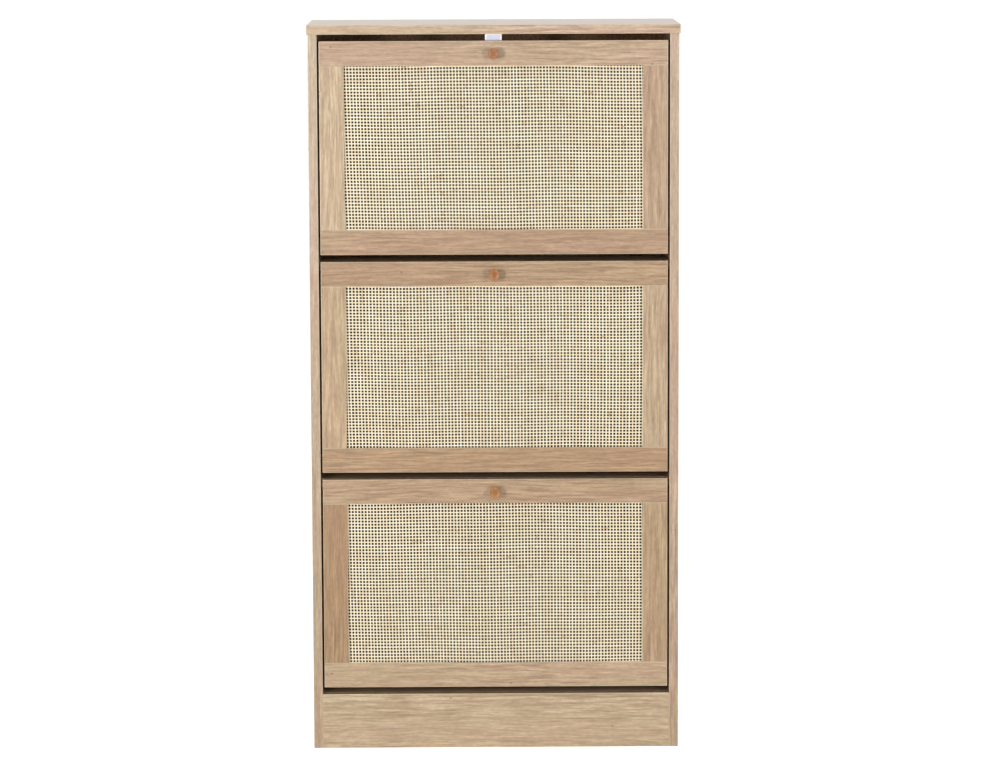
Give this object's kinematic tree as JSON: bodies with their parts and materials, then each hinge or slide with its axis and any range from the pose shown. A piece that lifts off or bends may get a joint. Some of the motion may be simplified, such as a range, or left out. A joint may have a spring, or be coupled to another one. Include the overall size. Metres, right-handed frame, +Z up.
{
  "type": "shoe cabinet",
  "caption": "Tall, shallow shoe cabinet in light oak foil, with tilt-out drawers whose framed fronts are filled with woven cane.",
  "frame": {"origin": "middle of the bounding box, knobs included, on the floor", "axes": "+Z up, -Y towards a person who faces the drawer fronts, +X to that person's right"},
  "size_m": [0.6, 0.258, 1.18],
  "materials": {
    "oak_foil": "light oak-look foil on board, satin",
    "hardboard": "bare hardboard, matt",
    "cane": "natural rattan cane, square weave, satin",
    "knob_wood": "turned wood, clear lacquer",
    "black_plastic": "moulded, fine texture",
    "white_plastic": "moulded, smooth",
    "zinc_steel": "zinc-plated, bright"
  },
  "bodies": {
    "cabinet": {"top_panel": "oak_foil", "left_side": "oak_foil", "right_side": "oak_foil", "bottom_panel": "oak_foil", "front_plinth": "oak_foil", "rear_plinth": "oak_foil", "back_panel": "hardboard", "lower_cross_rail": "oak_foil", "middle_cross_rail": "oak_foil", "lower_catch": "white_plastic", "lower_left_pivot": "black_plastic", "lower_right_pivot": "black_plastic", "middle_catch": "white_plastic", "middle_left_pivot": "black_plastic", "middle_right_pivot": "black_plastic", "upper_catch": "white_plastic", "upper_left_pivot": "black_plastic", "upper_right_pivot": "black_plastic"},
    "lower_drawer": {"lower_top_rail": "oak_foil", "lower_bottom_rail": "oak_foil", "lower_left_stile": "oak_foil", "lower_right_stile": "oak_foil", "lower_cane": "cane", "lower_cane_frame": "oak_foil", "lower_knob": "knob_wood", "lower_knob_screw": "zinc_steel", "lower_strike_plate": "zinc_steel", "lower_left_bracket": "black_plastic", "lower_right_bracket": "black_plastic", "lower_toe_board": "oak_foil", "lower_row_divider": "oak_foil", "lower_rear_board": "oak_foil"},
    "middle_drawer": {"middle_top_rail": "oak_foil", "middle_bottom_rail": "oak_foil", "middle_left_stile": "oak_foil", "middle_right_stile": "oak_foil", "middle_cane": "cane", "middle_cane_frame": "oak_foil", "middle_knob": "knob_wood", "middle_knob_screw": "zinc_steel", "middle_strike_plate": "zinc_steel", "middle_left_bracket": "black_plastic", "middle_right_bracket": "black_plastic", "middle_toe_board": "oak_foil", "middle_row_divider": "oak_foil", "middle_rear_board": "oak_foil"},
    "upper_drawer": {"upper_top_rail": "oak_foil", "upper_bottom_rail": "oak_foil", "upper_left_stile": "oak_foil", "upper_right_stile": "oak_foil", "upper_cane": "cane", "upper_cane_frame": "oak_foil", "upper_knob": "knob_wood", "upper_knob_screw": "zinc_steel", "upper_strike_plate": "zinc_steel", "upper_left_bracket": "black_plastic", "upper_right_bracket": "black_plastic", "upper_toe_board": "oak_foil", "upper_row_divider": "oak_foil", "upper_rear_board": "oak_foil"}
  },
  "joints": [
    {"name": "lower_drawer_tilt", "type": "hinge", "parent": "cabinet", "child": "lower_drawer", "pos_m": [0, -0.084, 0.13625], "axis": [1, 0, 0], "range_deg": [0, 50]},
    {"name": "middle_drawer_tilt", "type": "hinge", "parent": "cabinet", "child": "middle_drawer", "pos_m": [0, -0.084, 0.491], "axis": [1, 0, 0], "range_deg": [0, 50]},
    {"name": "upper_drawer_tilt", "type": "hinge", "parent": "cabinet", "child": "upper_drawer", "pos_m": [0, -0.084, 0.84575], "axis": [1, 0, 0], "range_deg": [0, 50]}
  ]
}
